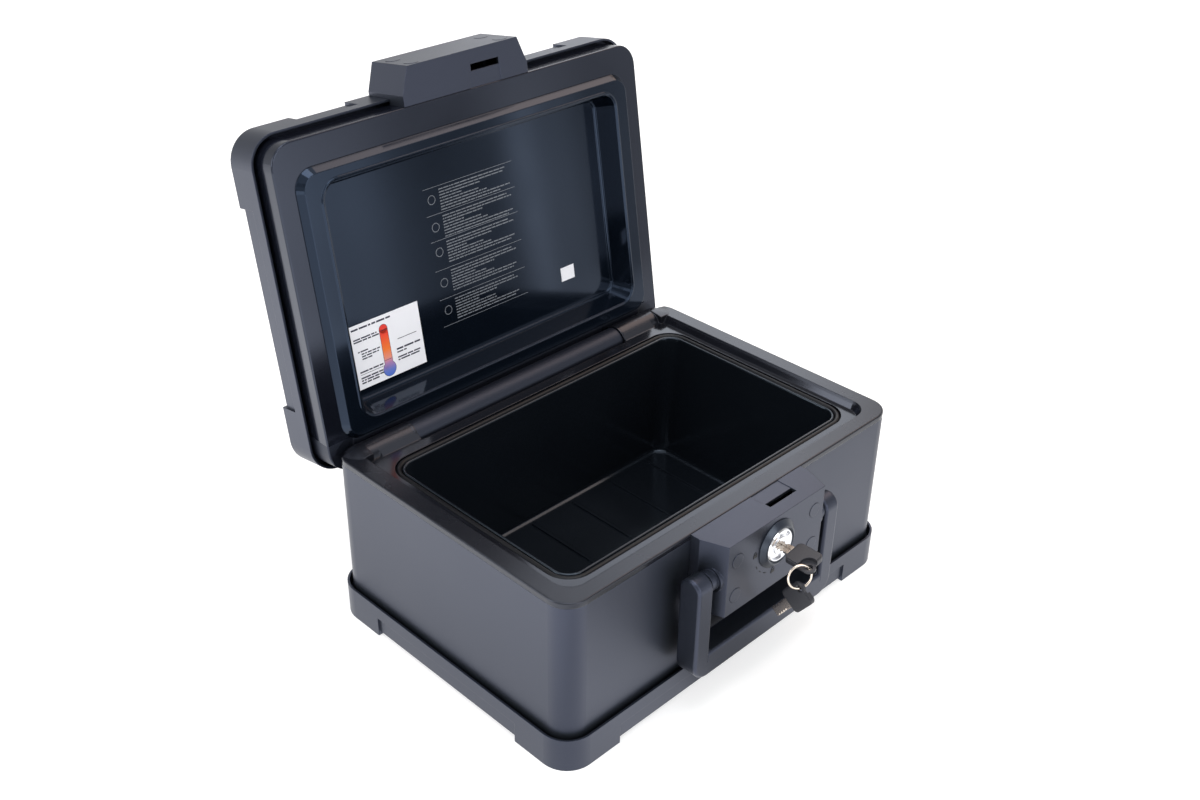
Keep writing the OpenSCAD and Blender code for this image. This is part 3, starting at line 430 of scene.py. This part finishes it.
def addRing(bm, centre, radius, width, height, matrix, arc=360, start=0,
            steps=ringRule["steps"]):
    # flat ring or arc, spun from a small rectangle about the centre
    inner, outer = radius - width / 2, radius + width / 2
    corners = [(inner, 0), (outer, 0), (outer, height), (inner, height)]
    turn = Matrix.Rotation(radians(start), 4, "Z")
    verts = [bm.verts.new(turn @ Vector((x * mm, 0, z * mm))) for x, z in corners]
    face = bm.faces.new(verts)
    whole = arc >= 360
    bmesh.ops.spin(bm, geom=[face] + verts + list(face.edges), cent=(0, 0, 0), axis=(0, 0, 1),
                   angle=radians(arc), steps=steps, use_merge=whole, use_duplicate=False)
    found = joinedVerts(verts)
    place = matrix @ Matrix.Translation(Vector(centre) * mm)
    bmesh.ops.transform(bm, matrix=place, verts=found)
    if whole:
        bmesh.ops.remove_doubles(bm, verts=found, dist=ringRule["weld"])


# lengths of the short bars in a row, in heights, from a count that wraps round
wordRule = {"times": 29, "plus": 17, "wrap": 97, "shortest": 1.6, "kinds": 7, "gap": 0.7}


def addWords(bm, x0, x1, y, height, z0, z1, turn, seed):
    # a row of plain short bars of uneven length, with narrow gaps
    rule = wordRule
    x, count = x0, seed
    while x < x1 - height:
        count = (count * rule["times"] + rule["plus"]) % rule["wrap"]
        end = min(x1, x + height * (rule["shortest"] + count % rule["kinds"]))
        addBar(bm, x, end, y - height / 2, y + height / 2, z0, z1, turn)
        x = end + height * rule["gap"]


def jointPlace(name):
    # a point on the joint's axis, in millimetres
    return [v / mm for v in joints[name]["pos_m"]]


# the lid's pictures are drawn with the lid shut and then turned open about its hinge
hinge = {"place": jointPlace("lid_hinge"), "open": -joints["lid_hinge"]["range_deg"][1]}
hingeLine = Vector(hinge["place"]) * mm
lidPose = (Matrix.Translation(hingeLine) @ Matrix.Rotation(radians(hinge["open"]), 4, "X")
           @ Matrix.Translation(-hingeLine))


def shutBox(name):
    # lowest and highest corner of a lid piece with the lid shut, in millimetres
    shut = lidPose.inverted()
    places = [shut @ vert.co / mm for vert in nodes[name].data.vertices]
    return [[round(pick(place[n] for place in places), 3) for n in range(3)]
            for pick in (min, max)]


# the large label lies flat against the lid's panel
labelLow, labelHigh = shutBox("info_label")

# plain ruled block on the lid's panel: lines, blank rings and rows of short bars
ruledBlock = {"panelZ": labelHigh[2], "rise": 0.03, "left": -41, "right": 38,
              "lineWidth": 0.35, "rules": [-50.7, -32, -13.8, 7, 27.8, 47.4],
              "rings": [-42.5, -23.3, -5.7, 16.4, 36.5], "ringX": -34.9, "ringRadius": 3,
              "ringWidth": 0.5, "barLeft": -28, "barTop": 2.2, "barStep": 2.05,
              "barWidth": 0.8, "footGap": 1.4, "barEnds": [31, 34, 12, -6, 8, 14, 35, 30],
              # how much shorter a row is: so much per block and per row, wrapping round
              "shortByBlock": 7, "shortByRow": 5, "shortWrap": 6}


def makeRuledBlock():
    k = ruledBlock
    bm = bmesh.new()
    high = k["panelZ"]
    low = high - k["rise"]
    half = k["lineWidth"] / 2
    for y in k["rules"]:
        addBar(bm, k["left"], k["right"], y - half, y + half, low, high, lidPose)
    panel = lidPose @ Matrix.Translation((0, 0, low * mm))
    for y in k["rings"]:
        addRing(bm, (k["ringX"], y, 0), k["ringRadius"], k["ringWidth"], k["rise"], panel)
    for n, top in enumerate(k["rules"][:-1]):
        foot = k["rules"][n + 1] - k["footGap"]
        for i, end in enumerate(k["barEnds"]):
            y = top + k["barTop"] + i * k["barStep"]
            if y > foot:
                break
            short = (n * k["shortByBlock"] + i * k["shortByRow"]) % k["shortWrap"]
            addWords(bm, k["barLeft"], end - short, y + k["barWidth"] / 2, k["barWidth"],
                     low, high, lidPose, n * len(k["barEnds"]) + i)
    makePiece(bm, "ruledBlock", "lid", "printGrey")


makeRuledBlock()

# picture on the large label: a plain thermometer with a scale, and bars, measured from the
# label's left side and from its foot
labelPicture = {"left": labelLow[0], "foot": labelHigh[1], "z": labelLow[2], "tubeX": 27.0,
                "bulbY": 6.5, "topY": 38.4, "tubeRadius": 3.2, "bulbRadius": 5.1,
                "outline": 0.3, "rise": 0.04, "roundSteps": 48,
                # rows of bars: place from the left, height above the foot, length, thickness
                "bars": [(2, 42, 32, 1.2), (2.5, 35, 19, 1.0), (2.5, 33.3, 20.5, 1.0),
                         (4.5, 26, 9, 0.9), (7, 24, 15, 0.9), (7, 22.2, 14, 0.9),
                         (7, 20.4, 8, 0.9), (3.5, 11.8, 19, 1.0), (3.5, 7.6, 18, 1.0),
                         (3.5, 5.8, 19, 1.0), (3.5, 4, 15, 1.0),
                         (35, 17.6, 20, 1.2), (35, 15.4, 9, 0.9), (35, 11.7, 19, 1.0),
                         (35, 9.9, 18, 1.0)],
                "lines": [(37, 24.5, 16, 0.4), (23.8, 34.6, 6.4, 0.25), (3.5, 10, 20, 0.25),
                          (24, 13.2, 6.2, 0.25)]}
# colours from the foot of the bulb to the tube's round top
heatStops = [(0.0, (0.05, 0.15, 0.62, 1)), (0.12, (0.14, 0.2, 0.6, 1)),
             (0.25, (0.45, 0.24, 0.5, 1)), (0.36, (0.85, 0.3, 0.2, 1)),
             (0.52, (0.95, 0.2, 0.02, 1)), (0.8, (0.9, 0.06, 0.02, 1)),
             (1.0, (0.8, 0.03, 0.02, 1))]


def colourByHeight():
    k = labelPicture
    tree = mats["heatScale"].node_tree
    low, high = ((lidPose @ (Vector((0, y, k["z"])) * mm)).z
                 for y in (k["foot"] - k["bulbY"] + k["bulbRadius"], k["foot"] - k["topY"]))
    span = addMapRange(tree, splitPlace(tree, "Object")["Z"], low, high)
    base = tree.nodes["Principled BSDF"].inputs["Base Color"]
    feed(tree, base, addRamp(tree, span, heatStops))


def addFigure(bm, grow, depth):
    # bulb, tube and round top as three flat forms that overlap, lying on the label
    k = labelPicture
    x = k["left"] + k["tubeX"]
    bulb = k["foot"] - k["bulbY"]
    tubeEnd = k["foot"] - k["topY"] + k["tubeRadius"]
    for y, radius in ((bulb, k["bulbRadius"]), (tubeEnd, k["tubeRadius"])):
        place = lidPose @ Matrix.Translation(Vector((x, y, k["z"] - depth / 2)) * mm)
        size = (radius + grow) * mm
        bmesh.ops.create_cone(bm, cap_ends=True, segments=k["roundSteps"], radius1=size,
                              radius2=size, depth=depth * mm, matrix=place)
    half = k["tubeRadius"] + grow
    addBar(bm, x - half, x + half, tubeEnd, bulb, k["z"] - depth, k["z"], lidPose)


def makeLabelPicture():
    k = labelPicture
    colourByHeight()
    # the coloured figure stands out twice as far as its dark outline
    bm = bmesh.new()
    addFigure(bm, 0, k["rise"] * 2)
    makePiece(bm, "heatFigure", "lid", "heatScale")
    bm = bmesh.new()
    addFigure(bm, k["outline"], k["rise"])
    top = k["z"]
    low = top - k["rise"]
    for n, (u, v, length, height) in enumerate(k["bars"]):
        x, y = k["left"] + u, k["foot"] - v
        addWords(bm, x, x + length, y, height, low, top, lidPose, n)
    for u, v, length, height in k["lines"]:
        # thin lines stand out over the figure
        x, y = k["left"] + u, k["foot"] - v
        addBar(bm, x, x + length, y - height / 2, y + height / 2, low - k["rise"] * 2, top,
               lidPose)
    makePiece(bm, "labelPrint", "lid", "inkDark")


makeLabelPicture()

# raised signs for shut and open beside the lock, and the arc of dashes between them;
# the lock's joint is placed where its axis meets the housing's front face
# signs: x, z and tilt of the shackle
lockSigns = {"axis": jointPlace("lock_turn"), "arcRadius": 20.5, "rise": 0.15,
             "signs": [(-20.6, 107.3, 0), (-1.2, 85.8, 26)],
             "bodyWide": 3.6, "bodyHigh": 2.6, "shackle": 1.15, "shackleUp": 0.3,
             "shackleSteps": 16, "wire": 0.5, "dashes": [205, 222, 239], "dashWidth": 0.6,
             "dashAngle": 7, "dashSteps": 6}


def makeLockSigns():
    k = lockSigns
    bm = bmesh.new()
    # x stays, the drawing's y becomes z and its height stands out to the front
    _, face, axisZ = k["axis"]
    front = Matrix.Translation((0, face * mm, 0)) @ Matrix.Rotation(radians(90), 4, "X")
    for x, z, tilt in k["signs"]:
        half = k["bodyWide"] / 2
        addBar(bm, x - half, x + half, z - k["bodyHigh"], z, 0, k["rise"], front)
        corner = Matrix.Translation(Vector((x, z, 0)) * mm)
        tilted = front @ corner @ Matrix.Rotation(radians(tilt), 4, "Z") @ corner.inverted()
        addRing(bm, (x, z + k["shackleUp"], 0), k["shackle"], k["wire"], k["rise"], tilted,
                arc=180, steps=k["shackleSteps"])
    for angle in k["dashes"]:
        addRing(bm, (0, axisZ, 0), k["arcRadius"], k["dashWidth"], k["rise"], front,
                arc=k["dashAngle"], start=angle, steps=k["dashSteps"])
    makePiece(bm, "lockSigns", "chest", "sealRubber")


makeLockSigns()
print("pictures and signs set")
